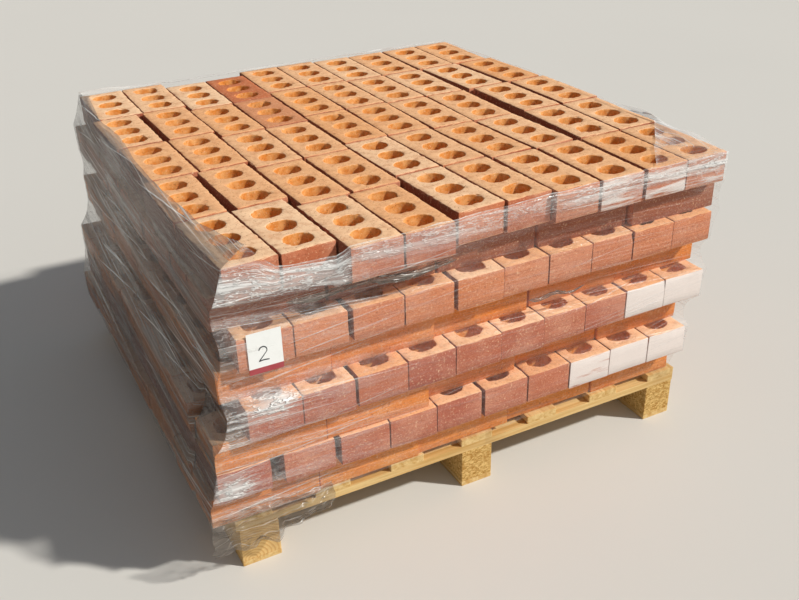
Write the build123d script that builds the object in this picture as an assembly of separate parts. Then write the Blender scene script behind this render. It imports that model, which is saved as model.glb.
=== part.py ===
from build123d import *
from itertools import permutations
import os
import random

# Pallet of perforated bricks: eight courses of clay bricks on a wooden block pallet, wrapped in
# stretch film, with a white card on one front brick. Millimetres, +Z up, front face towards -Y.
# Layout values are in a working frame whose origin is the top front left corner of the load;
# everything is moved at the end so that the middle of the footprint is the origin.

# Brick
BRICK_LENGTH = 215.0
BRICK_WIDTH = 102.5
BRICK_HEIGHT = 65.0
HOLE_PITCH = 65.0
HOLE_ALONG = 42.0
HOLE_ACROSS = 54.0
TOP_HOLE_STEPS = 5
LEDGE_HOLE_STEPS = 3

# Stack
COURSES = 8
LEFT_LEDGE_COURSES = (1, 3, 5)
HEADER_COLUMN_COUNT = 10
HEADER_ROW_COUNT = 5
HEADER_ROW_GAP = 1.8
STRETCHER_COLUMN_COUNT = 5
STRETCHER_SETBACK = 44.6
ROW_DRIFT = 3.0
CORE_CLEARANCE = 3.0

# Pallet
PALLET_FRONT = 15.0
PALLET_DEPTH = 1060.0
PALLET_LEFT = -30.0
DECK_BOARD_WIDTH = 75.0
DECK_BOARD_COUNT = 7
DECK_BOARD_PITCH = 163.8
DECK_THICKNESS = 17.0
BEARER_THICKNESS = 16.0
BEARER_WIDTH = 120.0
BLOCK_HEIGHT = 77.0
BLOCK_LEFTS = (-24.0, 463.0, 953.0)
BLOCK_WIDTHS = (79.0, 73.0, 73.0)
BOTTOM_BOARD_THICKNESS = 11.0

# Film and card. The film's front is worked out from the corners within FRONT_ROW_REACH of the
# foremost one, and a corner's stand to the front counts FRONT_WEIGHT times its stand to the side.
FILM_THICKNESS = 1.0
FILM_CLEARANCE = 0.3
FILM_HEM = 18.0
FILM_FOOT_ABOVE_DECK = 4.0
FRONT_ROW_REACH = 80.0
FRONT_WEIGHT = 4
CARD_COURSE = COURSES - 2
CARD_CLEARANCE = 0.3
CARD_WIDTH = 62.0
CARD_HEIGHT = 80.0
CARD_THICKNESS = 0.6
CARD_LEFT = 24.0
CARD_TOP = -123.0

# Top course, front row to back row: left edge of the first brick, joint, extra gap before a brick,
# and how far each brick is turned, in degrees.
TOP_ROWS = (
    (-8.0, 2.5, {2: 4.5, 4: 17.0, 6: 2.0, 7: 3.0, 8: 5.0},
     (3.6, 3.4, 2.6, 2.4, 3.4, 3.2, 1.2, 0.5, 0.5, 0.0)),
    (-16.0, 2.5, {1: 11.0, 2: 3.5, 3: 3.0, 6: 3.0, 7: 2.5, 8: 20.0},
     (0.5, 2.5, 2.5, 2.0, 3.0, 3.4, 3.8, 4.1, 0.0, 0.0)),
    (-4.0, 2.5, {4: 3.0, 8: 27.0, 9: 6.0},
     (2.0, 1.6, 0.8, 1.0, 1.2, 0.0, 1.0, 0.0, 2.0, 1.6)),
    (-14.0, 1.9, {1: 11.0, 3: 1.0, 4: 1.5, 8: 12.0, 9: 8.0},
     (1.3, 1.6, 1.6, 0.8, 1.0, 1.4, 1.1, 1.1, 3.6, 4.0)),
    (0.0, 1.1, {8: 4.0},
     (0.5, 0.4, 0.6, 0.3, 0.0, 0.4, 0.0, 0.2, 1.0, 0.5)),
)
TOP_FRONTS = (0.0, 3.0, -36.0, -33.0, 1.0, 1.0, -9.0, -10.0, -9.0, -8.0)
TOP_ROW_GAP = 3.6

# Courses below: left edge of the first brick, joint, extra gap before a brick, and where the front
# faces stand. A header course drifts from its first value to its second along the face. The rows
# behind the front one start from the brick that stands furthest back.
LOWER_COURSES = {
    7: (-24.0, 6.0, {}, (35.0, 35.0, 33.0, 30.0, 17.0)),
    6: (6.0, 1.3, {2: 7.0, 4: 6.0}, (-13.3, -6.1)),
    5: (-31.0, 1.3, {3: 8.0}, (10.0, 16.0, 25.0, 32.0, 38.0)),
    4: (4.0, 1.0, {2: 5.0, 8: 3.0}, (-34.2, -12.4)),
    3: (-57.0, 0.8, {}, (-10.0, -8.0, 20.0, 36.0, 29.0)),
    2: (-58.0, 1.3, {1: 23.0, 2: 8.0, 5: 5.0}, (-13.9, -17.5)),
    1: (-73.0, 1.3, {1: 2.0, 3: 4.0}, (8.0, 14.0, 20.0, 29.0, 24.0)),
}

DECK_TOP = -COURSES * BRICK_HEIGHT
BEARER_TOP = DECK_TOP - DECK_THICKNESS
BLOCK_TOP = BEARER_TOP - BEARER_THICKNESS
BOTTOM_BOARD_TOP = BLOCK_TOP - BLOCK_HEIGHT
GROUND = BOTTOM_BOARD_TOP - BOTTOM_BOARD_THICKNESS

# A stretcher course is less deep than a header course by the setback. It has as many rows as fit
# behind its front row, spread evenly.
TOP_ROW_PITCH = BRICK_LENGTH + TOP_ROW_GAP
HEADER_ROW_PITCH = BRICK_LENGTH + HEADER_ROW_GAP
STRETCHER_RUN = HEADER_ROW_COUNT * HEADER_ROW_PITCH - HEADER_ROW_GAP - STRETCHER_SETBACK - BRICK_WIDTH
STRETCHER_ROW_COUNT = 1 + int(STRETCHER_RUN // BRICK_WIDTH)
STRETCHER_ROW_PITCH = STRETCHER_RUN / (STRETCHER_ROW_COUNT - 1)


def hole_outline(steps):
    """Rounded slot, longer across the brick, drawn with `steps` sides to each rounded end."""
    radius = HOLE_ALONG / 2
    offset = (HOLE_ACROSS - HOLE_ALONG) / 2
    right = [Vector(offset, 0) + Vector(radius, 0).rotate(Axis.Z, -90 + 180 * i / steps)
             for i in range(steps + 1)]
    left = [Vector(-point.X, -point.Y) for point in right]
    return make_face(Polyline(*right, *left, close=True))


def brick(rows_of_holes=(), steps=LEDGE_HOLE_STEPS):
    """One brick, length along Y, standing on its middle, with holes in the named places."""
    outline = Rectangle(BRICK_WIDTH, BRICK_LENGTH)
    for place in rows_of_holes:
        outline -= Pos(0, place * HOLE_PITCH) * hole_outline(steps)
    return extrude(outline, BRICK_HEIGHT)


PLAIN_BRICK = brick()
LEDGE_BRICK = brick((-1,))
OPEN_BRICK = brick((-1, 0, 1), TOP_HOLE_STEPS)


def left_edges(start, joint, gaps, count, size):
    """Left edges of a row of bricks laid one after the other."""
    edges = []
    edge = start
    for index in range(count):
        edge += gaps.get(index, 0.0)
        edges.append(edge)
        edge += size + joint
    return edges


def top_course():
    """All fifty bricks of the top course, each turned as it lies."""
    bricks = []
    for row, (start, joint, gaps, turns) in enumerate(TOP_ROWS):
        edges = left_edges(start, joint, gaps, HEADER_COLUMN_COUNT, BRICK_WIDTH)
        for edge, front, turn in zip(edges, TOP_FRONTS, turns):
            middle = Location((edge + BRICK_WIDTH / 2, front + BRICK_LENGTH / 2 + row * TOP_ROW_PITCH,
                               -BRICK_HEIGHT), (0, 0, turn))
            bricks.append(middle * OPEN_BRICK)
    return bricks


def lower_course(number):
    """Bricks on the four faces of a course below the top, and the block of bricks inside it."""
    start, joint, gaps, fronts = LOWER_COURSES[number]
    header = number % 2 == 0
    across = HEADER_COLUMN_COUNT if header else STRETCHER_COLUMN_COUNT
    deep = HEADER_ROW_COUNT if header else STRETCHER_ROW_COUNT
    size_x = BRICK_WIDTH if header else BRICK_LENGTH
    size_y = BRICK_LENGTH if header else BRICK_WIDTH
    pitch = HEADER_ROW_PITCH if header else STRETCHER_ROW_PITCH
    chance = random.Random(number)
    if header:
        slope = (fronts[1] - fronts[0]) / (across - 1)
        fronts = [fronts[0] + slope * index + chance.uniform(-2, 2) for index in range(across)]
    drift = [0.0] + [chance.uniform(-ROW_DRIFT, ROW_DRIFT) for _ in range(1, deep)]
    edges = left_edges(start, joint, gaps, across, size_x)
    floor = (number - 1) * BRICK_HEIGHT + DECK_TOP
    bricks = []
    for row in range(deep):
        for column in range(across):
            if 0 < row < deep - 1 and 0 < column < across - 1:
                continue
            on_ledge = row == 0 if header else column == 0 and number in LEFT_LEDGE_COURSES
            shape = LEDGE_BRICK if on_ledge else PLAIN_BRICK
            front = fronts[column] if row == 0 else max(fronts) + row * pitch
            middle = Location((edges[column] + drift[row] + size_x / 2, front + size_y / 2, floor),
                              (0, 0, 0 if header else -90))
            bricks.append(middle * shape)
    x_low = edges[0] + size_x + ROW_DRIFT + CORE_CLEARANCE
    x_high = edges[-1] - ROW_DRIFT - CORE_CLEARANCE
    y_low = max(fronts) + size_y + CORE_CLEARANCE
    y_high = max(fronts) + (deep - 1) * pitch - CORE_CLEARANCE
    inside = Pos((x_low + x_high) / 2, (y_low + y_high) / 2, floor) * Box(
        x_high - x_low, y_high - y_low, BRICK_HEIGHT, align=(Align.CENTER, Align.CENTER, Align.MIN))
    return bricks, inside


def pallet():
    """Deck boards, bearers, blocks and bottom boards of the pallet."""
    low = (Align.MIN, Align.MIN, Align.MAX)
    right = PALLET_LEFT + (DECK_BOARD_COUNT - 1) * DECK_BOARD_PITCH + DECK_BOARD_WIDTH
    decks = [Pos(PALLET_LEFT + index * DECK_BOARD_PITCH, PALLET_FRONT, DECK_TOP)
             * Box(DECK_BOARD_WIDTH, PALLET_DEPTH, DECK_THICKNESS, align=low)
             for index in range(DECK_BOARD_COUNT)]
    rows = [PALLET_FRONT + index * (PALLET_DEPTH - BEARER_WIDTH) / 2 for index in range(3)]
    bearers = [Pos(PALLET_LEFT, row, BEARER_TOP)
               * Box(right - PALLET_LEFT, BEARER_WIDTH, BEARER_THICKNESS, align=low) for row in rows]
    blocks = [Pos(left, row, BLOCK_TOP) * Box(width, BEARER_WIDTH, BLOCK_HEIGHT, align=low)
              for row in rows for left, width in zip(BLOCK_LEFTS, BLOCK_WIDTHS)]
    bottoms = [Pos(left, PALLET_FRONT, BOTTOM_BOARD_TOP)
               * Box(width, PALLET_DEPTH, BOTTOM_BOARD_THICKNESS, align=low)
               for left, width in zip(BLOCK_LEFTS, BLOCK_WIDTHS)]
    return decks, bearers, blocks, bottoms


def plan_corners(bricks):
    """The four corners of each brick, seen from above."""
    return [(corner.X, corner.Y) for solid in bricks
            for corner in solid.faces().sort_by(Axis.Z)[-1].outer_wire().vertices()]


def line_at(stations, x):
    """How far back a broken line through some stations is, at a place along it."""
    for (start, first), (end, second) in zip(stations, stations[1:]):
        if x <= end:
            return first + (second - first) * (x - start) / (end - start)
    return stations[-1][1]


def taut_front(corners, left, right):
    """Stations of film pulled tight across the front of some corners: the two ends, and between them
    every second joint of the front row of the top course. A station is on the foremost of the straight
    lines between two corners, and all move forwards until no corner is ahead of them."""
    front_left = min(corners, key=lambda corner: corner[1] * FRONT_WEIGHT + corner[0])
    front_right = min(corners, key=lambda corner: corner[1] * FRONT_WEIGHT - corner[0])
    foremost = min(y for x, y in corners)
    row = [(x, y) for x, y in corners
           if y < foremost + FRONT_ROW_REACH and front_left[0] <= x <= front_right[0]]
    lines = [pair for pair in permutations(row, 2) if pair[0][0] < pair[1][0]]
    start, joint, gaps, _ = TOP_ROWS[0]
    joints = left_edges(start, joint, gaps, HEADER_COLUMN_COUNT, BRICK_WIDTH)[2::2]
    stations = []
    for x in (left, *joints, right):
        near = min(max(x, front_left[0]), front_right[0])
        over = [line_at(pair, near) for pair in lines if pair[0][0] <= near <= pair[1][0]]
        stations.append((x, min(over)))
    ahead = max(0.0, *(line_at(stations, x) - y for x, y in row))
    return [(x, y - ahead) for x, y in stations]


def wrap_outline(corners, top_corners, height, grow):
    """Outline of the film round some corners: straight along the left, back and right. The front is
    taut over the top course, and below it straight along the foremost corner."""
    left = min(x for x, y in corners)
    right = max(x for x, y in corners)
    back = max(y for x, y in corners) + grow
    stations = taut_front(top_corners, left, right)
    if height < -BRICK_HEIGHT:
        stations = [(x, min(y for _, y in corners)) for x, _ in stations]
    left -= grow
    right += grow
    front = [(left, stations[0][1]), *stations[1:-1], (right, stations[-1][1])]
    return Pos(0, 0, height) * make_face(Polyline(
        *((x, y - grow) for x, y in front), (right, back), (left, back), close=True))


def stretch_film(corners):
    """Film drawn tight round the load: it touches each course that stands out and slants in to the
    middle of each course that stands back. Its hem lies on the edge of the top course."""
    top_corners = corners[COURSES]
    levels = [(0.0, top_corners)]
    for number in range(COURSES, 1, -1):
        top = (number - COURSES) * BRICK_HEIGHT
        levels.append((top - BRICK_HEIGHT / 2, corners[number]))
        levels.append((top - BRICK_HEIGHT, corners[number] + corners[number - 1]))
    levels.append((DECK_TOP + FILM_FOOT_ABOVE_DECK, corners[1]))
    gap = FILM_CLEARANCE
    skin = FILM_CLEARANCE + FILM_THICKNESS
    levels[0] = (skin, levels[0][1])
    outside = loft([wrap_outline(around, top_corners, height, skin) for height, around in levels],
                   ruled=True)
    levels[0] = (gap, levels[0][1])
    inside = loft([wrap_outline(around, top_corners, height, gap) for height, around in levels],
                  ruled=True)
    mouth = extrude(wrap_outline(top_corners, top_corners, gap, -FILM_HEM), FILM_THICKNESS * 2)
    return outside - inside - mouth


def card(corners):
    """White card on the front of the film, held flat against the first brick of course six."""
    face = min(y for _, y in corners) - FILM_CLEARANCE - FILM_THICKNESS - CARD_CLEARANCE
    return Pos(CARD_LEFT, face, CARD_TOP) * Box(
        CARD_WIDTH, CARD_THICKNESS, CARD_HEIGHT, align=(Align.MIN, Align.MAX, Align.MAX))


nodes = {"course_8": top_course()}
core = []
for number in LOWER_COURSES:
    nodes[f"course_{number}"], inside = lower_course(number)
    core.append(inside)
nodes["inner_bricks"] = [core[0].fuse(*core[1:])]
corners = {number: plan_corners(nodes[f"course_{number}"]) for number in range(1, COURSES + 1)}
decks, bearers, blocks, bottoms = pallet()
nodes.update(deck_boards=decks, bearer_boards=bearers, pallet_blocks=blocks, bottom_boards=bottoms)
nodes["stretch_film"] = [stretch_film(corners)]
nodes["label_card"] = [card(corners[CARD_COURSE])]

whole = Compound([solid for solids in nodes.values() for solid in solids]).bounding_box()
shift = Pos(-(whole.min.X + whole.max.X) / 2, -(whole.min.Y + whole.max.Y) / 2, -GROUND)
os.makedirs("parts", exist_ok=True)
for name, solids in nodes.items():
    export_step(Compound([shift * solid for solid in solids]), f"parts/{name}.step")
print("whole", whole.min, whole.max, "shift", shift.position)
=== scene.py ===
import math

import bpy
import numpy as np
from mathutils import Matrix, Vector


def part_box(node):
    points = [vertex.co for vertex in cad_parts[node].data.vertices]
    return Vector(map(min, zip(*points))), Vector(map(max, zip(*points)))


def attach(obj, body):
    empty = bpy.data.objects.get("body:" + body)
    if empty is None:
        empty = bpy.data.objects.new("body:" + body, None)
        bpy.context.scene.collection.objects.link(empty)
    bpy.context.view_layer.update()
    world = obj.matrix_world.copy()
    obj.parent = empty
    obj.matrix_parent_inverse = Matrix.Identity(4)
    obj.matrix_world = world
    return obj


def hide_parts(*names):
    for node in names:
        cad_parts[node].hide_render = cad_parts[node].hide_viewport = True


# Pallet of perforated bricks in stretch film, on a pale studio floor.
# Lengths are in metres in the CAD frame: +Z up, the photographed front face looks towards -Y.
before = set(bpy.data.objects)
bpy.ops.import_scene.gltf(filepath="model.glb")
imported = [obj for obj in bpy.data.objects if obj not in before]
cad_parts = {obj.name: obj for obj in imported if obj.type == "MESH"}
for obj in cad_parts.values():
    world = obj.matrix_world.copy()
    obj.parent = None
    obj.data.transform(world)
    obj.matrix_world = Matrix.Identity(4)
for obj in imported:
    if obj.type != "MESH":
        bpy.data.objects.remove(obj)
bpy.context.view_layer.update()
scene = bpy.context.scene


# Top course. Fifty wire-cut clay bricks lie loose as headers, ten across and five deep, each turned a
# little as it was set down. Three slots run through each brick; the clay is buff on the cut faces,
# redder on the skin, and crumbles at the rims of the slots.
BRICK_HALF = (0.05125, 0.1075)
BRICK_HEIGHT = 0.065
SLOT_RADIUS = 0.021
SLOT_STRAIGHT = 0.006
SLOT_PITCH = 0.065
ARRIS = 0.0022
ROW_PITCH = 0.2186
RIM_BAND = 0.004
CHIP_DEPTH = 0.0045
WEAR_DEPTH = 0.0010
RAGGED_DEPTH = 0.0010
SWELL = 0.0005

# Rings down the wall of a slot: how far each stands off the wall, its height, how much it wears.
SLOT_RINGS = ((0.0019, BRICK_HEIGHT - 0.0001, 1.0), (0.0006, BRICK_HEIGHT - 0.0007, 1.0),
              (0.0, BRICK_HEIGHT - 0.0022, 0.9), (0.0, 0.042, 0.3), (0.0, 0.02, 0.3), (0.0, 0.0, 0.3))

# Rings round the outside: the share of the arris that each is out, its height, how much it wears.
SKIN_RINGS = ((0, BRICK_HEIGHT, 0.2), (0.6, BRICK_HEIGHT - 0.0005, 0.8), (1, BRICK_HEIGHT - ARRIS, 1.0),
              (1, 0.043, 0.15), (1, 0.022, 0.15), (1, ARRIS, 0.6), (0, 0.0, 0.2))


def noise(points, scale, seed):
    """Value noise from -1 to 1: random values at the corners of cubes `scale` wide, eased between."""
    cell = points / scale + seed * 17.31
    low = np.floor(cell)
    part = cell - low
    part = part * part * (3 - 2 * part)
    total = np.zeros(points.shape[:-1])
    for corner in np.ndindex(2, 2, 2):
        value = np.sin((low + corner) @ np.array([12.9898, 78.233, 37.719]) + seed) * 43758.5453
        value = 2 * (value - np.floor(value)) - 1
        total += value * np.prod(np.where(corner, part, 1 - part), axis=-1)
    return total


def brick_places(node):
    """Middle, lowest height and turn of each solid of a CAD node. Corners that share a face get one
    label; the width of a turned rectangle is w cos(turn) + l sin(turn), which gives the turn."""
    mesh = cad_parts[node].data
    points = np.zeros(len(mesh.vertices) * 3)
    mesh.vertices.foreach_get("co", points)
    faces = np.zeros(len(mesh.loops), np.int64)
    mesh.loops.foreach_get("vertex_index", faces)
    corners, same = np.unique(np.round(points.reshape(-1, 3), 5), axis=0, return_inverse=True)
    faces = same.reshape(-1)[faces].reshape(-1, 3)
    label = np.arange(len(corners))
    settled = False
    while not settled:
        spread = label.copy()
        np.minimum.at(spread, faces.ravel(), np.repeat(label[faces].min(1), 3))
        settled = (spread == label).all()
        label = spread
    names, group = np.unique(label, return_inverse=True)
    group = group.reshape(-1)
    low = np.full((len(names), 3), 9.0)
    high = np.full((len(names), 3), -9.0)
    np.minimum.at(low, group, corners)
    np.maximum.at(high, group, corners)
    size = high - low
    diagonal = 2 * math.hypot(*BRICK_HALF)
    lean = np.arcsin(np.clip(size[:, 0] / diagonal, -1, 1)) - math.atan2(BRICK_HALF[0], BRICK_HALF[1])
    turn = np.where(size[:, 0] > size[:, 1], -math.pi / 2, np.maximum(lean, 0))
    middle = (low + high) / 2
    return np.column_stack([middle[:, :2], low[:, 2], turn])


def slot_reach(direction):
    """Distance from the middle of a slot to its wall along a direction: to the straight side where the
    ray meets it, and otherwise to the rounded end, a circle set off by half the straight."""
    across = np.abs(direction[:, 0])
    along = np.abs(direction[:, 1])
    flat = SLOT_RADIUS / np.maximum(along, 1e-6)
    curved = SLOT_STRAIGHT * across + np.sqrt(SLOT_RADIUS ** 2 - (SLOT_STRAIGHT * along) ** 2)
    return np.where(flat * across <= SLOT_STRAIGHT, flat, curved)


def brick_grid(steps):
    """One brick as bands of quads: round each slot from a rectangle on the top face over the rim, down
    the wall and out underneath, and round the outside from the top face over the arris and down.
    Returns points, quads, how much each point wears, and which way it goes as it wears."""
    side = np.linspace(-1, 1, steps + 1)[:-1]
    one = np.ones(steps)
    loop = np.concatenate([np.column_stack(pair) for pair in
                           ((side, -one), (one, side), (-side, one), (-one, -side))])
    wide = BRICK_HALF[0] - ARRIS
    deep = BRICK_HALF[1] - ARRIS
    cuts = (-deep, -SLOT_PITCH / 2, SLOT_PITCH / 2, deep)
    points, quads, wear, pull = [], [], [], []

    def band(rows, flip):
        """Adds closed rings of points, joined ring to ring by quads."""
        start = sum(len(block) for block in points)
        ring = len(rows[0][0])
        for place, amount, way in rows:
            points.append(place)
            wear.append(np.full(ring, amount))
            pull.append(way)
        here = np.arange(ring)
        after = np.roll(here, -1)
        for row in range(len(rows) - 1):
            upper = start + row * ring
            lower = upper + ring
            quad = (upper + here, upper + after, lower + after, lower + here)
            quads.append(np.column_stack(quad[::-1] if flip else quad))

    for index in range(3):
        middle = np.array([0, (index - 1) * SLOT_PITCH])
        rim = np.column_stack([loop[:, 0] * wide,
                               cuts[index] + (loop[:, 1] + 1) / 2 * (cuts[index + 1] - cuts[index])])
        away = rim - middle
        away /= np.linalg.norm(away, axis=1)[:, None]
        reach = slot_reach(away)
        down = np.column_stack([away, np.full(len(away), -0.7)])
        still = np.tile([0.0, 0.0, -1.0], (len(away), 1))

        def at(offset, height):
            """Ring that stands off the slot's wall by an offset, at a height."""
            flat = middle + away * (reach + offset)[:, None]
            return np.column_stack([flat, np.full(len(flat), height)])

        top = np.column_stack([rim, np.full(len(rim), BRICK_HEIGHT)])
        foot = np.column_stack([rim, np.zeros(len(rim))])
        near = at(RIM_BAND, BRICK_HEIGHT)
        wall = [(at(offset, height), amount, down) for offset, height, amount in SLOT_RINGS]
        band([(top, 0.2, still), ((top + near) / 2, 0.1, still), (near, 0.4, down), *wall,
              (foot, 0.2, still)], False)
    lengths = [np.column_stack([np.full(steps, 1.0), cuts[i] + (side + 1) / 2 * (cuts[i + 1] - cuts[i])])
               for i in range(3)]
    right = np.concatenate(lengths) * [wide, 1]
    outline = np.concatenate([np.column_stack([side * wide, -one * deep]), right,
                              np.column_stack([-side * wide, one * deep]), -right])
    out = np.column_stack([np.where(np.abs(outline[:, 0]) > wide - 1e-6, np.sign(outline[:, 0]), 0),
                           np.where(np.abs(outline[:, 1]) > deep - 1e-6, np.sign(outline[:, 1]), 0)])
    out = np.where((np.abs(out).sum(1) > 1.5)[:, None], out * 0.72, out)
    inward = np.column_stack([-out, np.full(len(out), -0.8)])
    still = np.tile([0.0, 0.0, -1.0], (len(out), 1))

    def skin(part, height):
        """Ring round the outside, a part of the arris out from the flat of the top."""
        flat = outline + out * ARRIS * part
        return np.column_stack([flat, np.full(len(flat), height)])

    band([(skin(part, height), amount, inward if part else still)
          for part, height, amount in SKIN_RINGS], True)
    points = np.concatenate(points)
    _, first, same = np.unique(np.round(points, 7), axis=0, return_index=True, return_inverse=True)
    return (points[first], same.reshape(-1)[np.concatenate(quads)],
            np.concatenate(wear)[first], np.concatenate(pull)[first])


def surface(name, points, faces, layers=None, sharp=50):
    """Mesh object from arrays of points and faces, with one attribute for each layer."""
    mesh = bpy.data.meshes.new(name)
    mesh.vertices.add(len(points))
    mesh.vertices.foreach_set("co", np.asarray(points, np.float32).ravel())
    mesh.loops.add(faces.size)
    mesh.loops.foreach_set("vertex_index", faces.astype(np.int32).ravel())
    mesh.polygons.add(len(faces))
    mesh.polygons.foreach_set("loop_start", np.arange(len(faces), dtype=np.int32) * faces.shape[1])
    mesh.update(calc_edges=True)
    for key, values in (layers or {}).items():
        kind, field = ("FLOAT_VECTOR", "vector") if values.ndim == 2 else ("FLOAT", "value")
        layer = mesh.attributes.new(key, kind, "POINT")
        layer.data.foreach_set(field, np.asarray(values, np.float32).ravel())
    mesh.shade_smooth()
    mesh.set_sharp_from_angle(angle=math.radians(sharp))
    thing = bpy.data.objects.new(name, mesh)
    scene.collection.objects.link(thing)
    return thing


def laid_bricks(name, places, looks, grid, seed):
    """Copies of a brick grid, each worn by its own noise, then turned and moved to its place. Rims and
    arrises go in where the noise is high, which makes chips, and everything else swells a little."""
    base, quads, wear, pull = grid
    count = len(places)
    shift = np.arange(count)[:, None, None] * 3.7 + seed
    own = base[None] + shift
    chip = np.maximum(noise(own, 0.011, 1) - 0.3, 0) * CHIP_DEPTH
    chip = chip + np.maximum(noise(own, 0.03, 2), 0) * WEAR_DEPTH
    ragged = noise(own, 0.006, 3) * RAGGED_DEPTH
    worn = base[None] + pull[None] * ((chip + ragged) * wear[None])[..., None]
    swell = np.stack([noise(own, 0.07, 4 + axis) for axis in range(3)], -1) * SWELL
    swell[..., 2] *= 0.5
    worn = worn + swell
    cos, sin = np.cos(places[:, 3])[:, None], np.sin(places[:, 3])[:, None]
    points = np.stack([places[:, :1] + worn[..., 0] * cos - worn[..., 1] * sin,
                       places[:, 1:2] + worn[..., 0] * sin + worn[..., 1] * cos,
                       places[:, 2:3] + worn[..., 2]], -1)
    faces = quads[None] + np.arange(count)[:, None, None] * len(base)
    return surface(name, points.reshape(-1, 3), faces.reshape(-1, 4),
                   {"local": worn.reshape(-1, 3), "look": np.repeat(looks, len(base), axis=0)})


def ink(code):
    """Linear colour of a six-letter hexadecimal code, by the usual screen curve."""
    parts = [int(code[i:i + 2], 16) / 255 for i in (0, 2, 4)]
    return [p / 12.92 if p <= 0.04045 else ((p + 0.055) / 1.055) ** 2.4 for p in parts] + [1.0]


class Wire:
    """One value inside a material. Signs add Math nodes, so shader maths reads as Python."""

    def __init__(self, tree, socket=None):
        self.tree = tree
        self.socket = socket

    def node(self, kind, settings, inputs, output=0):
        """Any node: its type, its settings, its inputs, and the output to go on from."""
        made = self.tree.nodes.new(kind)
        for name, value in settings.items():
            setattr(made, name, value)
        for name, value in inputs.items():
            if isinstance(value, Wire):
                self.tree.links.new(value.socket, made.inputs[name])
            else:
                made.inputs[name].default_value = value
        return Wire(self.tree, made.outputs[output])

    def math(self, operation, first, second=0.0):
        """Math node on one or two values."""
        return self.node("ShaderNodeMath", {"operation": operation}, {0: first, 1: second})

    def __add__(self, other):
        return self.math("ADD", self, other)

    def __radd__(self, other):
        return self.math("ADD", other, self)

    def __sub__(self, other):
        return self.math("SUBTRACT", self, other)

    def __rsub__(self, other):
        return self.math("SUBTRACT", other, self)

    def __mul__(self, other):
        return self.math("MULTIPLY", self, other)

    def __rmul__(self, other):
        return self.math("MULTIPLY", other, self)

    def __truediv__(self, other):
        return self.math("DIVIDE", self, other)

    def __rtruediv__(self, other):
        return self.math("DIVIDE", other, self)

    def __pow__(self, other):
        return self.math("POWER", self, other)

    def __abs__(self):
        return self.math("ABSOLUTE", self)

    def eased(self, low, high):
        """0 below low, 1 above high, eased between."""
        return self.node("ShaderNodeMapRange", {"interpolation_type": "SMOOTHSTEP"},
                         {"Value": self, "From Min": low, "From Max": high})

    def mix(self, factor, first, second):
        """Colour between two colours."""
        return self.node("ShaderNodeMix", {"data_type": "RGBA"}, {0: factor, 6: first, 7: second}, 2)

    def parts(self):
        """The three parts of a vector."""
        made = self.tree.nodes.new("ShaderNodeSeparateXYZ")
        self.tree.links.new(self.socket, made.inputs[0])
        return [Wire(self.tree, output) for output in made.outputs]

    def stretched(self, x, y, z):
        """A vector with each part scaled by its own factor."""
        return self.node("ShaderNodeVectorMath", {"operation": "MULTIPLY"}, {0: self, 1: (x, y, z)})

    def shifted(self, amount):
        """A vector moved the same way along each axis by a value."""
        return self.node("ShaderNodeVectorMath", {"operation": "ADD"}, {0: self, 1: amount})

    def grain(self, scale, detail=2.0, rough=0.5):
        """Noise of a size, read at this vector."""
        return self.node("ShaderNodeTexNoise", {}, {"Vector": self, "Scale": scale, "Detail": detail,
                                                    "Roughness": rough})


def material(name, build, **fixed):
    """Material whose Principled shader takes what build returns, and constants for the rest."""
    made = bpy.data.materials.new(name)
    made.use_nodes = True
    tree = made.node_tree
    shader = tree.nodes["Principled BSDF"]
    for key, value in fixed.items():
        shader.inputs[key.replace("_", " ").title().replace("Ior", "IOR")].default_value = value
    for key, value in build(Wire(tree)).items():
        tree.links.new(value.socket, shader.inputs[key])
    return made


def bump(root, height, strength, distance):
    """Normal from a height."""
    return root.node("ShaderNodeBump", {}, {"Height": height, "Strength": strength, "Distance": distance},
                     "Normal")


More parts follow.
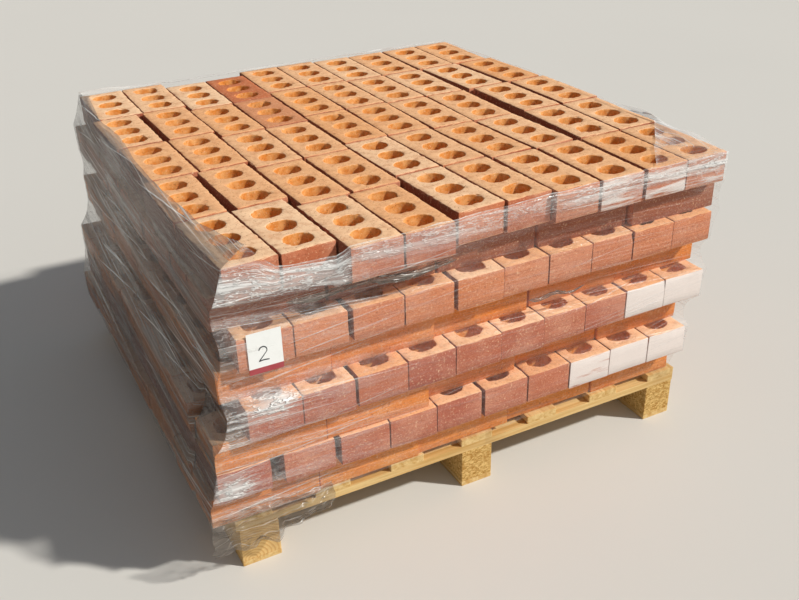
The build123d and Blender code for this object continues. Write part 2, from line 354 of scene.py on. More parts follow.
def clay(root):
    """Buff on cut faces and pink to orange on the skin, painted shade in dark brown on the long sides of
    redder bricks, drag lines along the skin from the die, orange in the slots, pale crumbs, and a white
    lime bloom in streaks on the face of a brick that has one."""
    local = root.node("ShaderNodeAttribute", {"attribute_name": "local"}, {}, "Vector")
    tone, red, lime = root.node("ShaderNodeAttribute", {"attribute_name": "look"}, {}, "Vector").parts()
    x, y, _ = local.parts()
    place = root.node("ShaderNodeTexCoord", {}, {}, "Object")
    up = abs(root.node("ShaderNodeNewGeometry", {}, {}, "True Normal").parts()[2]).eased(0.45, 0.85)
    in_slot = (1 - abs(x).eased(0.034, 0.040)) * (1 - abs(y).eased(0.094, 0.098)) * (1 - up)
    broad = place.grain(14.0, 3.0)
    mottle = place.grain(70.0, 4.0, 0.6)
    fine = place.grain(210.0, 5.0, 0.8)
    drag = local.shifted(tone * 9.0).stretched(7.0, 7.0, 620.0).grain(1.0, 3.0, 0.6)
    top = root.mix(tone, ink("eeb07a"), ink("f8d0a8"))
    top = root.mix(red.eased(0.8, 1.0), top, ink("c4714a"))
    top = root.mix(mottle.eased(0.42, 0.75) * 0.5, top, ink("c5835a"))
    top = root.mix(broad.eased(0.55, 0.75) * 0.4, top, ink("d6905f"))
    skin = root.mix(red.eased(0.0, 0.5), ink("e4862b"), ink("cd7d55"))
    skin = root.mix(red.eased(0.45, 0.9), skin, ink("a9543f"))
    pale = root.mix(red.eased(0.0, 0.4), ink("efa95e"), ink("dba083"))
    skin = root.mix(broad.eased(0.35, 0.7) * 0.45, skin, pale)
    skin = root.mix(drag.eased(0.48, 0.62) * 0.28, skin, ink("8f4b38"))
    # Painted shade: the long sides of the redder bricks are darkened to brown for the shade in the joints
    # between bricks.
    long_side_shade = abs(x).eased(0.0496, 0.0506) * red.eased(0.22, 0.42)
    skin = root.mix(long_side_shade * 0.6, skin, ink("6f3c2a"))
    colour = root.mix(up, skin, top)
    colour = root.mix(in_slot, colour, root.mix(mottle.eased(0.3, 0.7), ink("dd8a3c"), ink("efb06c")))
    crumbs = fine.eased(0.56, 0.66) * 0.65
    colour = root.mix(crumbs, colour, ink("f6d6ae"))
    pits = 1 - fine.eased(0.34, 0.44)
    colour = root.mix(pits * 0.7, colour, ink("84492c"))
    on_face = (1 - y.eased(-0.1055, -0.1045)) * (1 - up)
    streak = local.shifted(tone * 5.0).stretched(9.0, 9.0, 95.0).grain(1.0, 4.0, 0.65)
    bloom = (streak + lime * 0.62 - 0.32).eased(0.42, 0.60) * lime.eased(0.02, 0.12) * on_face
    colour = root.mix(bloom * 0.93, colour, ink("ebe2dc"))
    height = fine * 0.6 + mottle * 0.5 + drag * (1 - up) * 0.6 + bloom * 0.2
    return {"Base Color": colour, "Roughness": 0.98 - bloom * 0.15,
            "Normal": bump(root, height, 0.5, 0.0012)}


brick_clay = material("brick_clay", clay, specular_ior_level=0.25)
places = brick_places("course_8")
order = np.lexsort((places[:, 0], np.round((places[:, 1] - places[:, 1].min()) / ROW_PITCH)))
places = places[order]

# The look of a brick is its tone, its redness and its lime. Bricks count from 0 at the front left, row
# by row: 7 to 9 have lime on their faces, and 33 and 43 are the two red ones.
chance = np.random.default_rng(8)
count = len(places)
looks = np.column_stack([chance.random(count), 0.5 + chance.random(count) * 0.25, np.zeros(count)])
looks[[0, 2, 3], 0] = (0.95, 0.75, 0.15)
looks[[7, 8, 9], 2] = (0.50, 0.56, 0.42)
looks[[33, 43], 1] = (0.92, 1.0)
looks[[33, 43, 20], 0] = (0.4, 0.1, 0.2)
fine_grid = brick_grid(12)
top_bricks = laid_bricks("top_course_bricks", places, looks, fine_grid, 0.0)
top_bricks.data.materials.append(brick_clay)
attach(top_bricks, "root")
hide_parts("course_8")


# Courses 1 to 7. Header and stretcher courses turn about, each loose on the one below, so that ledges
# show the ends of the slots. The same wire-cut bricks: headers show a pink skin and stretchers an
# orange one, and some front faces carry a white lime bloom.
HEADERS_ACROSS = 10
STRETCHERS_ACROSS = 5
ROWS_PER_METRE = 8

# Lime by course and by brick, from the left of the front row, and how red each course is.
LIME = {4: {8: 0.95, 9: 1.0}, 2: {7: 0.8, 8: 0.97, 9: 0.92}}
REDNESS = {7: 0.36, 6: 0.34, 5: 0.04, 4: 0.66, 3: 0.04, 2: 0.62, 1: 0.0}
coarse_grid = brick_grid(7)
for number, redness in REDNESS.items():
    places = brick_places(f"course_{number}")
    places = places[np.lexsort((places[:, 0], np.round(places[:, 1] * ROWS_PER_METRE)))]
    front = np.argsort(places[:, 1])[:STRETCHERS_ACROSS if number % 2 else HEADERS_ACROSS]
    front = front[np.argsort(places[front, 0])]
    count = len(places)
    looks = np.column_stack([chance.random(count), redness + chance.random(count) * 0.2, np.zeros(count)])
    for column, amount in LIME.get(number, {}).items():
        looks[front[column], 2] = amount
    bricks = laid_bricks(f"course_{number}_bricks", places, looks, coarse_grid, number * 2.3)
    bricks.data.materials.append(brick_clay)
    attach(bricks, "root")
    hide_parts(f"course_{number}")


# Bricks inside the stack. Only the top of course 7 can be seen, down through the slots and joints of
# the top course, so one plain core stands for them, with painted shade, nearly black, in the joints and
# slots of its top.
core_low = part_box("inner_bricks")[0]
CORE_BRICK = (0.221, 0.1039)


def hidden_clay(root):
    """Buff clay, with painted shade, nearly black, along the joints of a stretcher course and in its
    rounded slots.
    """
    place = root.node("ShaderNodeTexCoord", {}, {}, "Object")
    x, y, _ = place.parts()
    along = root.math("FRACT", (x - core_low.x) / CORE_BRICK[0]) * CORE_BRICK[0]
    across = root.math("FRACT", (y - core_low.y) / CORE_BRICK[1]) * CORE_BRICK[1] - CORE_BRICK[1] / 2
    pitch = root.math("FRACT", (along - CORE_BRICK[0] / 2) / SLOT_PITCH + 0.5) * SLOT_PITCH - SLOT_PITCH / 2
    slot = root.math("SQRT", pitch * pitch + (across * 0.78) ** 2.0)
    # Painted shade: the core's top is flat, so its joints and slots are coloured nearly black for the shade
    # down in the gaps.
    gap_shade = 1 - slot.eased(0.0195, 0.0215)
    gap_shade = root.math("MAXIMUM", gap_shade, 1 - along.eased(0.004, 0.006))
    gap_shade = root.math("MAXIMUM", gap_shade, abs(across).eased(0.0495, 0.0508))
    fine = place.grain(300.0, 3.0, 0.65)
    colour = root.mix(fine.eased(0.3, 0.7), ink("c9814c"), ink("e2aa78"))
    return {"Base Color": root.mix(gap_shade, colour, ink("2a1710")), "Normal": bump(root, fine, 0.4, 0.001)}


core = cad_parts["inner_bricks"]
core.data.materials.clear()
core.data.materials.append(material("hidden_clay", hidden_clay, roughness=0.95, specular_ior_level=0.25))


# Pallet boards. Rough sawn pale softwood: seven deck boards from front to back on three bearers, and
# three bottom boards. Grain runs along each board, with darker late wood and dusty patches.
BOARDS_PER_METRE = 6.1
LAYERS_PER_METRE = 55.0
BOARD_EDGE = 0.0012


def wood(along):
    """Softwood with grain along one axis: 0 for X and 1 for Y. Whole numbers of steps across the boards
    and up the pallet shift the grain, so that no two boards share it."""
    def build(root):
        place = root.node("ShaderNodeTexCoord", {}, {}, "Object")
        x, y, z = place.parts()
        across = (y if along == 0 else x) * BOARDS_PER_METRE
        own = root.math("FLOOR", across) * 3.7 + root.math("FLOOR", z * LAYERS_PER_METRE) * 1.9
        stretch = (2.2, 70.0, 70.0) if along == 0 else (70.0, 2.2, 70.0)
        rings = place.stretched(*stretch).shifted(own).grain(1.0, 3.0, 0.6)
        fibre = place.stretched(*(s * 6 for s in stretch)).shifted(own).grain(1.0, 2.0, 0.5)
        dirt = place.grain(9.0, 4.0, 0.6)
        saw = place.stretched(*((260.0, 3.0, 3.0) if along == 0 else (3.0, 260.0, 3.0))).grain(1.0, 1.0)
        colour = root.mix(rings.eased(0.35, 0.7), ink("e2c48a"), ink("c59a58"))
        colour = root.mix(fibre.eased(0.5, 0.8) * 0.5, colour, ink("a97f45"))
        colour = root.mix(dirt.eased(0.5, 0.75) * 0.45, colour, ink("9a7f58"))
        height = rings * 0.5 + fibre * 0.6 + saw * 0.5
        return {"Base Color": colour, "Normal": bump(root, height, 0.5, 0.0008)}
    return build


def rounded(thing, width):
    """Joins the CAD faces at their shared edges and rounds the edges."""
    weld = thing.modifiers.new("weld", "WELD")
    weld.merge_threshold = 0.00005
    edge = thing.modifiers.new("edge", "BEVEL")
    edge.width = width
    edge.segments = 2
    edge.limit_method = "ANGLE"
    edge.angle_limit = math.radians(40)


wood_along_y = material("softwood_front_to_back", wood(1), roughness=0.85, specular_ior_level=0.3)
wood_along_x = material("softwood_left_to_right", wood(0), roughness=0.85, specular_ior_level=0.3)
for name, finish in (("deck_boards", wood_along_y), ("bearer_boards", wood_along_x),
                     ("bottom_boards", wood_along_y)):
    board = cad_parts[name]
    board.data.materials.clear()
    board.data.materials.append(finish)
    rounded(board, BOARD_EDGE)


# Pallet blocks. The front left one is sawn softwood with its growth rings to the front; the rest are
# pressed from wood chips. They are nailed between the bearers and the bottom boards.
BLOCK_EDGE = 0.0015

# Heart of the growth rings: across and up.
HEART = (-0.50, 0.02)


def block_wood(root):
    """Growth rings, by the sine of the distance to the heart, in the front left block, and a patchwork of
    pressed chips in the others."""
    place = root.node("ShaderNodeTexCoord", {}, {}, "Object")
    x, y, z = place.parts()
    warp = place.grain(18.0, 2.0) * 0.012
    ring_x = x - HEART[0] + warp
    ring_z = (z - HEART[1] + warp) * 1.2
    radius = root.math("SQRT", ring_x * ring_x + ring_z * ring_z)
    rings = root.math("SINE", radius * 900.0) * 0.5 + 0.5
    solid = root.mix(rings.eased(0.45, 0.95) * 0.55, ink("e0bb7c"), ink("bd8745"))
    chips = root.node("ShaderNodeTexVoronoi", {"feature": "F1"},
                      {"Vector": place.stretched(1.0, 1.0, 1.7), "Scale": 210.0}, "Color").parts()[0]
    specks = place.grain(330.0, 3.0, 0.7)
    pressed = root.mix(chips, ink("a97a34"), ink("e3c07c"))
    pressed = root.mix(specks.eased(0.55, 0.7) * 0.7, pressed, ink("7d5a2a"))
    is_solid = (1 - x.eased(-0.42, -0.41)) * (1 - y.eased(-0.38, -0.37))
    colour = root.mix(is_solid, pressed, solid)
    dirt = place.grain(16.0, 4.0, 0.6)
    colour = root.mix(dirt.eased(0.52, 0.8) * 0.4, colour, ink("8c6d45"))
    height = specks * 0.6 + chips * 0.8 * (1 - is_solid) + rings * 0.25 * is_solid
    return {"Base Color": colour, "Normal": bump(root, height, 0.6, 0.001)}


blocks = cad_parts["pallet_blocks"]
blocks.data.materials.clear()
blocks.data.materials.append(material("block_wood", block_wood, roughness=0.88, specular_ior_level=0.3))
rounded(blocks, BLOCK_EDGE)


# Stretch film. Clear film about 0.02 mm thick, wound round the load in several layers and pulled tight
# from one course that stands out to the next; it sags a little into the courses between, and its hem
# is drawn over the corners of the top course. White where layers gather and crease.
COURSES = 8
FILM_OFF = 0.0009

# The front left corner of the top course, and how far from it the film's bridge over the first two
# bricks ends, and how far the bridge sags.
CORNER_X = -0.5035
BRIDGE_END = 0.212
BRIDGE_SAG = 0.016

# Heights of the film's rings in each course, and places of its points along each side.
FRACTIONS = np.array([0.03, 0.2, 0.4, 0.6, 0.8, 0.97])
SHARES = np.concatenate([[0, 0.003, 0.012], np.linspace(0.03, 0.97, 90), [0.988, 0.997, 1]])

# Sides of the load, each with the way it faces and the way round, and for each the cling to the faces,
# the dip into a course that stands back, the depth of the creases and the width of the hem.
FRONT, RIGHT, BACK, LEFT = range(4)
SIDES = np.array([[(0, -1), (1, 0)], [(1, 0), (0, 1)], [(0, 1), (-1, 0)], [(-1, 0), (0, -1)]], float)
CLING = (0.3, 0.3, 0.2, 0.1)
TOP_CLING = 0.1
DIP = (0.55, 0.45, 0.35, 0.14)
CREASE = (0.0016, 0.0010, 0.0010, 0.0008)
HEM_WIDTH = (0.002, 0.016, 0.012, 0.026)

# Rings of the hem: the share of its width that each is drawn in, and how far it stands up.
HEM = ((0.0, 0.0), (0.15, 0.001), (0.4, 0.002), (0.7, 0.0022), (0.9, 0.0025), (1.0, 0.004))

# How far the hem reaches in where it covers the front right and the front left corner.
RIGHT_COVER = 0.1036
LEFT_COVER = 0.066

# Crumpled and glaring places on the front: across from the corner, up from the top, half the width,
# half the height, and how white.
CRUMPLES = ((0.052, -0.263, 0.034, 0.011, 2.4), (-0.030, -0.427, 0.028, 0.016, 2.8),
            (-0.030, -0.310, 0.040, 0.050, 0.35), (0.030, -0.500, 0.110, 0.025, 0.35),
            (1.040, -0.030, 0.060, 0.040, 0.45), (0.740, -0.015, 0.080, 0.020, 0.25))
top_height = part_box("course_8")[1].z
floor_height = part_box("course_1")[0].z


def course_corners(places):
    """The four corners of each brick of a course, on the ground plan: its half sizes, turned and moved."""
    flat = np.array([(-1, -1), (1, -1), (1, 1), (-1, 1)]) * BRICK_HALF
    cos, sin = np.cos(places[:, 3])[:, None], np.sin(places[:, 3])[:, None]
    return np.stack([places[:, :1] + flat[:, 0] * cos - flat[:, 1] * sin,
                     places[:, 1:2] + flat[:, 0] * sin + flat[:, 1] * cos], -1)


def film_reach(plan, side, cling):
    """How far out the film stands along one side of a course, at shares of the way between its two
    outermost corners. The film is the lowest of the straight lines, up to 45 degrees steep, that
    clear every corner, drawn towards the bricks' own faces by the cling."""
    normal, tangent = SIDES[side]
    out, along = plan @ normal, plan @ tangent
    first = np.unravel_index(np.argmax(out - along), out.shape)
    last = np.unravel_index(np.argmax(out + along), out.shape)
    at = along[first] + (along[last] - along[first]) * SHARES
    slope = np.linspace(-1, 1, 161)[:, None, None]
    taut = (out.ravel() - slope * (along.ravel() - at[:, None])).max(2).min(0)
    outer = np.argsort(-out, 1)[:, :2]
    depth = np.take_along_axis(out, outer, 1)
    place = np.take_along_axis(along, outer, 1)
    run = place[:, 1] - place[:, 0]
    run = np.where(np.abs(run) < 1e-6, 1e-6, run)
    part = np.clip((at - place[:, :1]) / run[:, None], 0, 1)
    faces = depth[:, :1] + (depth[:, 1:] - depth[:, :1]) * part
    covers = (at > along.min(1)[:, None] - 0.012) & (at < along.max(1)[:, None] + 0.012)
    own = np.where(covers, faces, -9).max(0)
    reach = np.where(own > -8, own + (taut - own) * (1 - cling), taut)
    reach[0], reach[-1] = out[first], out[last]
    return reach


def film_rows():
    """Reach of the film on each side at six heights in each course. Where a course stands back, the
    film is near the straight line between its neighbours, and dips towards the course by the sine of
    its place in the course: most at the front, least on the left, where it is pulled smooth."""
    plans = [course_corners(brick_places(f"course_{number}")) for number in range(1, COURSES + 1)]
    rows = []
    for side in range(4):
        clings = [CLING[side]] * (COURSES - 1) + [TOP_CLING]
        reach = [film_reach(plan, side, cling) for plan, cling in zip(plans, clings)]
        for number in range(COURSES):
            here = reach[number]
            above = reach[min(number + 1, COURSES - 1)]
            below = reach[max(number - 1, 0)]
            sample = np.column_stack([SHARES * 1.1, np.full((len(SHARES), 2), (number, side * 3.0))])
            dip = DIP[side] * (1 + 0.5 * noise(sample, 0.25, 21))
            for fraction in FRACTIONS:
                chord = below + (above - below) * fraction
                sag = 1 - dip * math.sin(math.pi * fraction) ** 0.7
                rows.append(here + np.maximum(chord - here, 0) * sag)
    return np.array(rows).reshape(4, COURSES * len(FRACTIONS), len(SHARES))


def hem_width(side, from_start, from_end):
    """How far the hem reaches in over the top: a little all round but not at the front, and
    three-cornered where the film is drawn over the front right and front left corners."""
    point = np.column_stack([from_start, from_end, np.full(len(from_start), side * 2.0)])
    width = HEM_WIDTH[side] * (1 + 0.4 * noise(point, 0.16, 31))
    if side == FRONT:
        width = np.maximum(width, np.clip((0.193 - from_end) * 1.25, 0, RIGHT_COVER))
        width = np.maximum(width, np.clip((0.083 - from_start) * 3.8, 0, LEFT_COVER))
    if side == RIGHT:
        width = np.maximum(width, np.clip(0.187 - 0.8 * from_start, 0, RIGHT_COVER))
    if side == LEFT:
        width = np.maximum(width, np.clip(0.083 - 0.26 * from_end, 0, LEFT_COVER))
    return width


def hump(value, middle, wide):
    """Bell curve round a middle: e to the minus square of how many widths a value is away."""
    return np.exp(-((value - middle) / wide) ** 2)


def film_ring(side_reach, height, inward=0.0, lift=0.0):
    """One ring of film: on each side it runs between the reach of its two neighbours, with creases
    where folds of noise cross. A hem ring is drawn in by its share of the hem and stands up by its
    lift, most at the back and in two lobes by the front right corner. Where the film bridges the first
    two bricks of the top course it is lower. Returns points and their place on the wrap."""
    ring, wraps = [], []
    hem = height >= top_height
    for side, (normal, tangent) in enumerate(SIDES):
        start = -side_reach[side - 1][-1] - FILM_OFF
        end = side_reach[(side + 1) % 4][0] + FILM_OFF
        s = start + (end - start) * SHARES
        from_start, from_end = s - start, end - s
        place = np.column_stack([s, np.full((len(s), 2), (height * 9.0, side * 5.0))])
        fold = 0.0 if hem else (1 - np.abs(noise(place, 0.16, 11))) ** 3 * CREASE[side]
        width = hem_width(side, from_start, from_end) * inward
        away = side_reach[side] + FILM_OFF + fold - width
        level = np.full(len(s), height)
        if hem:
            lobes = 0.0
            if side == RIGHT:
                lobes = 0.012 * hump(from_start, 0.10, 0.05) + 0.013 * hump(from_start, 0.27, 0.07)
            if side == BACK:
                lobes = 0.005 + 0.007 * hump(from_end, 0.05, 0.08)
            stand = lobes * math.sin(math.pi * min(inward + 0.25, 1))
            level += lift * (1 + 0.5 * noise(place, 0.03, 13)) + stand
            level += 0.0012 * inward
        if side == FRONT:
            over = np.clip((from_start - 0.06) / 0.03, 0, 1)
            over *= np.clip((BRIDGE_END - from_start) / 0.02, 0, 1)
            part_up = np.clip((height - top_height + BRICK_HEIGHT) / BRICK_HEIGHT, 0, 1)
            level -= over * part_up * BRIDGE_SAG
        s = np.clip(s, start + width, end - width)
        ring.append(np.column_stack([np.outer(away, normal) + np.outer(s, tangent), level]))
        wraps.append(np.column_stack([s, height + width, np.full(len(s), side)]))
    return np.concatenate(ring), np.concatenate(wraps)


rows = film_rows()
heights = np.concatenate([(number + FRACTIONS) * BRICK_HEIGHT for number in range(COURSES)]) + floor_height
rings = [film_ring(rows[:, index], height) for index, height in enumerate(heights)]
rings += [film_ring(rows[:, -1], top_height, inward, lift) for inward, lift in HEM]
ring_size = len(SHARES) * 4
points = np.concatenate([ring for ring, wrap in rings])
wraps = np.concatenate([wrap for ring, wrap in rings])
here = np.arange(ring_size)
after = np.roll(here, -1)
step = np.arange(len(rings) - 1)[:, None] * ring_size
faces = np.stack([step + here, step + after, step + ring_size + after, step + ring_size + here], -1)


def film_milk(points, wraps):
    """How white the film is: least on flat faces, more towards the left of the front, all over the
    left side, where it bridges the first two bricks, and in spots where it is crumpled or glares."""
    across = points[:, 0] - CORNER_X
    below = points[:, 2] - top_height
    side = wraps[:, 2]
    milk = 0.05 + 0.22 * hump(across, 0.0, 0.26)
    bridge = np.clip((BRIDGE_END + 0.004 - across) / 0.02, 0, 1) * hump(below, -0.034, 0.024)
    streaks = 0.65 * hump(below, -0.012, 0.018) + 0.2 * hump(below, -0.07, 0.03) * hump(across, 0.3, 0.25)
    milk += 1.6 * bridge + np.clip((across - BRIDGE_END) / 0.02, 0, 1) * streaks
    for x, z, wide, tall, amount in CRUMPLES:
        milk += amount * hump(across, x, wide) * hump(below, z, tall)
    forward = wraps[:, 0] - 0.5
    left = 0.50 - 0.28 * hump(forward, 0.03, 0.07) * (below > -0.36) + 0.1 * hump(below, -0.1, 0.03)
    left += 0.9 * hump(forward, 0.05, 0.04) * hump(below, -0.365, 0.035)
    milk = np.where(side == LEFT, left, milk)
    milk = np.where((side == RIGHT) | (side == BACK), 0.16, milk)
    hem = np.repeat(np.arange(len(rings)) - len(heights), ring_size)
    lobes = (side == RIGHT) * hump(points[:, 1], -0.36, 0.16)
    milk = np.where(hem > 0, 0.13 + 0.25 * (side == LEFT) + 0.25 * (side == BACK) + 0.6 * lobes, milk)
    return np.where(hem >= len(HEM) - 2, np.maximum(milk, 0.5), milk)


def film_plastic(root):
    """Clear film: nearly nothing where it lies flat, fine bright lines along the wind, thin creases and
    broader folds that cross them, and more of all of these where `milk` is high. On the left it is
    more opaque, in a dark grey that is painted shade, with painted highlights along its bright lines."""
    wrap = root.node("ShaderNodeAttribute", {"attribute_name": "wrap"}, {}, "Vector")
    milk = root.node("ShaderNodeAttribute", {"attribute_name": "milk"}, {}, "Fac")
    x, y, z = wrap.parts()
    tilted = root.node("ShaderNodeCombineXYZ", {}, {0: x, 1: y + x * 0.05, 2: z * 3.0})
    crossed = root.node("ShaderNodeCombineXYZ", {}, {0: x, 1: y - x * 0.12, 2: z * 3.0})
    on_left = z.eased(2.4, 2.6)
    on_front = 1 - z.eased(0.4, 0.6)
    hair = tilted.stretched(1.3, 300.0, 9.0).grain(1.0, 1.0, 0.5)
    line = crossed.stretched(1.7, 150.0, 9.0).grain(1.0, 1.0, 0.5)
    fold = tilted.stretched(4.0, 52.0, 9.0).grain(1.0, 3.0, 0.55)
    crinkle = wrap.stretched(22.0, 95.0, 9.0).grain(1.0, 3.0, 0.6)
    crease = (1 - abs(crinkle * 2.0 - 1.0)).eased(0.90, 0.99) * on_front
    patch = wrap.stretched(4.0, 7.0, 9.0).grain(1.0, 3.0).eased(0.36, 0.6)
    bright = hair.eased(0.64, 0.68) * 0.8 + line.eased(0.67, 0.70)
    alpha = 0.02 + milk * 0.26 + bright * (0.10 + milk * 1.1) * (0.15 + patch * 0.85)
    alpha = alpha + fold.eased(0.48, 0.62) * milk * 0.5 + crease * milk * 0.45
    height = hair * 0.35 + line * 0.6 + fold * 2.0 + crease * milk * 0.8
    # Painted shade on the left side, which faces away from the key: the film is more opaque there and
    # coloured dark grey, and its bright lines are painted highlights in a pale grey.
    left_shade_grey = root.mix(hair.eased(0.35, 0.65), ink("5f5750"), ink("8b837a"))
    colour = root.mix(on_left, ink("f2f2f0"), root.mix(bright * 0.7, left_shade_grey, ink("d8d6d2")))
    return {"Alpha": root.math("MINIMUM", alpha + on_left * 0.34, 0.95), "Base Color": colour,
            "Normal": bump(root, height, 0.7, 0.004), "Roughness": 0.16 + patch * 0.16}


stretch_plastic = material("stretch_film", film_plastic, specular_ior_level=0.7)
film = surface("wrapped_film", points, faces.reshape(-1, 4),
               {"wrap": wraps, "milk": film_milk(points, wraps)}, 70)
film.data.materials.append(stretch_plastic)
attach(film, "root")
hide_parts("stretch_film")


# Gathered film. The film is bunched into a crumpled strand under the front of the top course, a shred
# of it lies under course 6, and a torn tail hangs over the pallet's front left corner.
GRID = (150, 26)
ROPE_THICK = 0.010
SHRED_THICK = 0.006

# The tail: how far left of the corner it starts, its width, how far below the top it hangs from, its
# length, and how much shorter its torn end is.
TAIL_LEFT = 0.082
TAIL_WIDTH = 0.24
TAIL_TOP = 0.480
TAIL_LENGTH = 0.105
TAIL_TEAR = 0.045
u, v = np.meshgrid(np.linspace(0, 1, GRID[0]), np.linspace(0, 1, GRID[1]), indexing="ij")
corner = np.arange(GRID[0] - 1)[:, None] * GRID[1] + np.arange(GRID[1] - 1)
grid_quads = (corner[..., None] + np.array([0, GRID[1], GRID[1] + 1, 1])).reshape(-1, 4)


def loose_film(name, points, milk, stretch):
    """Piece of loose film on the grid, whiter where milk is high; stretch is its length and width."""
    wrap = np.stack([u * stretch[0], v * stretch[1], u * 0 + len(name)], -1)
    piece = surface(name, points.reshape(-1, 3), grid_quads,
                    {"wrap": wrap.reshape(-1, 3), "milk": milk.ravel()}, 70)
    piece.data.materials.append(stretch_plastic)
    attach(piece, "root")


def strand(name, start, end, thick, seed):
    """Crumpled strand along a line: an open tube whose radius swells and shrinks by ridged noise, taller
    than it is deep, thin at both ends and open at the back."""
    at = np.stack([u * abs(end[0] - start[0]), v * 0.12, u * 0], -1)
    ridges = 1 - np.abs(noise(at * [1, 2.2, 1], 0.022, seed))
    radius = thick * (0.35 + 0.45 * ridges ** 2 + 0.35 * noise(at, 0.05, seed + 1))
    radius = radius * np.sin(np.pi * np.clip(u * 1.02, 0, 1)) ** 0.4
    turn = v * 1.3 * np.pi - 0.45
    line = np.asarray(start) + (np.asarray(end) - start) * u[..., None]
    line[..., 2] += 0.004 * np.sin(u * 11 + seed)
    points = line + np.stack([0.003 * noise(at, 0.02, seed + 2), -0.6 * radius * np.sin(turn),
                              1.1 * radius * np.cos(turn)], -1)
    loose_film(name, points, 0.6 + 0.5 * noise(at, 0.02, seed + 3), (0.5, 0.05))


film_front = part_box("stretch_film")[0].y
strand("film_rope", (CORNER_X + 0.095, film_front + 0.013, top_height - 0.073),
       (CORNER_X + 0.43, film_front + 0.020, top_height - 0.084), ROPE_THICK, 41)
strand("film_shred", (CORNER_X + 0.59, film_front + 0.020, top_height - 0.209),
       (CORNER_X + 0.725, film_front + 0.022, top_height - 0.215), SHRED_THICK, 47)

# The tail is a sheet that hangs from its upper edge, shorter towards the right where it is torn off, and
# bellied and rippled by noise.
tail_at = np.stack([u * 0.9, v * 0.6, v * 0 + 2.0], -1)
edge_at = np.stack([u * 0.9, u * 0, u * 0], -1)
length = TAIL_LENGTH - TAIL_TEAR * np.clip(u * 2 - 1, 0, 1) - 0.016 * np.abs(noise(edge_at, 0.12, 51))
drop = v * length
tail_x = CORNER_X - TAIL_LEFT + u * TAIL_WIDTH + 0.010 * noise(tail_at, 0.08, 52) * v
belly = 0.012 * noise(tail_at, 0.10, 53) + 0.006 * noise(tail_at, 0.05, 54)
tail_y = film_front + 0.020 + 0.012 * v + belly - 0.010 * np.sin(np.pi * v)
tail_z = top_height - TAIL_TOP - drop
loose_film("film_tail", np.stack([tail_x, tail_y, tail_z], -1),
           0.16 + 0.25 * noise(tail_at, 0.06, 55), (TAIL_WIDTH, 0.10))


# Card. White card 62 by 80 mm on the first brick of course 6, with a red band at its foot and the
# number 2 written on it with a marker.
card_low, card_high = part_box("label_card")
CARD_BAND = 0.011
BOWL_RADIUS = 0.0072
STROKE_HALF = 0.0009


def card_print(root):
    """White stock, faintly marked, with a red band along the foot."""
    place = root.node("ShaderNodeTexCoord", {}, {}, "Object")
    z = place.parts()[2]
    band = 1 - z.eased(card_low.z + CARD_BAND - 0.0002, card_low.z + CARD_BAND + 0.0002)
    scuff = place.grain(60.0, 4.0)
    colour = root.mix(scuff.eased(0.5, 0.8) * 0.25, ink("f4f6f4"), ink("d6d8d3"))
    return {"Base Color": root.mix(band, colour, root.mix(scuff * 0.3, ink("a3323a"), ink("c98086"))),
            "Normal": bump(root, scuff, 0.15, 0.001)}


def marker_line(root):
    """Black marker ink, a little uneven."""
    uneven = root.node("ShaderNodeTexCoord", {}, {}, "Object").grain(900.0)
    return {"Roughness": uneven * 0.2 + 0.4, "Base Color": root.mix(uneven, ink("1d1f25"), ink("343740"))}


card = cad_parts["label_card"]
card.data.materials.clear()
card.data.materials.append(material("card_print", card_print, roughness=0.55))

# The number is a bowl that turns clockwise, a straight leg down to the left and a foot to the right, as
# a flat ribbon whose edges lie to the left and right of that path.
sweep = np.linspace(2.98, -0.47, 30)
bowl = np.column_stack([BOWL_RADIUS * np.cos(sweep), BOWL_RADIUS * np.sin(sweep) + 0.0075])
run = np.linspace(0.1, 1, 12)
leg = bowl[-1] + (np.array([-0.0085, -0.0125]) - bowl[-1]) * run[:, None]
foot = leg[-1] + np.column_stack([0.0185 * run, 0.0012 * np.sin(run * np.pi)])
path = np.concatenate([bowl, leg, foot])
along = np.gradient(path, axis=0)
along /= np.linalg.norm(along, axis=1)[:, None]
half = STROKE_HALF * (1 + 0.25 * np.sin(np.linspace(0, 9, len(path))))[:, None]
edge = np.column_stack([-along[:, 1], along[:, 0]]) * half
middle = np.array([(card_low.x + card_high.x) / 2 - 0.004, (card_low.z + card_high.z) / 2 - 0.004])
stroke = np.concatenate([path + edge, path - edge]) + middle
stroke = np.column_stack([stroke[:, 0], np.full(len(stroke), card_low.y - 0.0003), stroke[:, 1]])
here = np.arange(len(path) - 1)
quads = np.column_stack([here, here + len(path), here + len(path) + 1, here + 1])
number = surface("card_number", stroke, quads)
number.data.materials.append(material("marker_ink", marker_line))
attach(number, "root")


# Floor, light and camera. Pale studio floor; a key from high on the right behind the camera, as the sun
# stood, a broad fill from the front, and an even pale surround. The camera is the photograph's own.
FLOOR_HALF = 9
PHOTO_WIDTH = 799
FOCAL_PIXELS = 960.45
SENSOR_WIDTH = 36


def floor_colour(root):
    """Pale grey paper, a little uneven."""
    uneven = root.node("ShaderNodeTexCoord", {}, {}, "Object").grain(0.8, 2.0)
    return {"Base Color": root.mix(uneven * 0.3, ink("d9d7d2"), ink("cfcdc8"))}


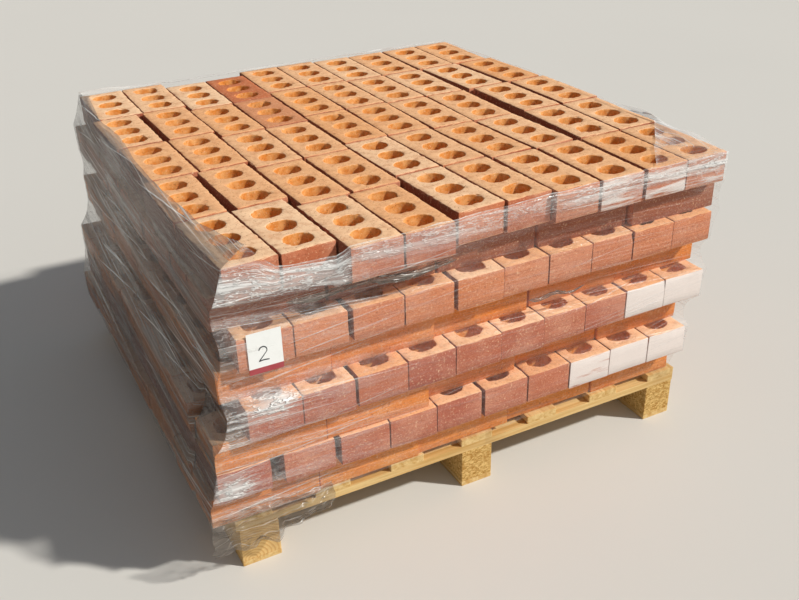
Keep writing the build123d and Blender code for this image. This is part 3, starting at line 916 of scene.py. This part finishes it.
def lamp(name, travel, energy, angle, colour):
    """Far lamp whose light goes the way of travel, with a soft edge of so many degrees."""
    thing = bpy.data.objects.new(name, bpy.data.lights.new(name, "SUN"))
    thing.data.energy = energy
    thing.data.angle = math.radians(angle)
    thing.data.color = colour
    thing.rotation_euler = Vector(travel).to_track_quat("-Z", "Y").to_euler()
    scene.collection.objects.link(thing)


floor_mesh = bpy.data.meshes.new("floor")
floor_corners = [(x * FLOOR_HALF, y * FLOOR_HALF, 0) for x, y in ((-1, -1), (1, -1), (1, 1), (-1, 1))]
floor_mesh.from_pydata(floor_corners, [], [(0, 1, 2, 3)])
floor = bpy.data.objects.new("floor", floor_mesh)
scene.collection.objects.link(floor)
floor_mesh.materials.append(material("floor_paper", floor_colour, roughness=0.95))

world = bpy.data.worlds.new("surround")
scene.world = world
world.use_nodes = True
root = Wire(world.node_tree)
seen = root.node("ShaderNodeLightPath", {}, {}, "Is Camera Ray")
glossy = root.node("ShaderNodeLightPath", {}, {}, "Is Glossy Ray")
through = root.node("ShaderNodeLightPath", {}, {}, "Is Transmission Ray")
shown = root.math("MAXIMUM", seen, root.math("MAXIMUM", glossy * 0.8, through))
background = world.node_tree.nodes["Background"]
world.node_tree.links.new(root.mix(shown, ink("dfe5ee"), ink("e6e5e2")).socket, background.inputs["Color"])
world.node_tree.links.new((shown * 0.78 + 0.22).socket, background.inputs["Strength"])
lamp("key", (-0.60, 0.47, -0.65), 3.5, 3.0, (1.0, 0.965, 0.90))
lamp("fill", (-0.25, 0.85, -0.45), 0.4, 80.0, (1.0, 0.98, 0.96))

camera = bpy.data.objects.new("camera", bpy.data.cameras.new("camera"))
scene.collection.objects.link(camera)
camera.location = (-0.87136, -1.87832, 1.32667)
camera.rotation_euler = (math.radians(60.6476), math.radians(1.1282), math.radians(-27.9304))
camera.data.sensor_width = SENSOR_WIDTH
camera.data.lens = FOCAL_PIXELS / PHOTO_WIDTH * SENSOR_WIDTH
camera.data.shift_x = -0.0070
camera.data.shift_y = 0.0139
camera.data.clip_start = 0.05
scene.camera = camera
scene.view_settings.view_transform = "Standard"
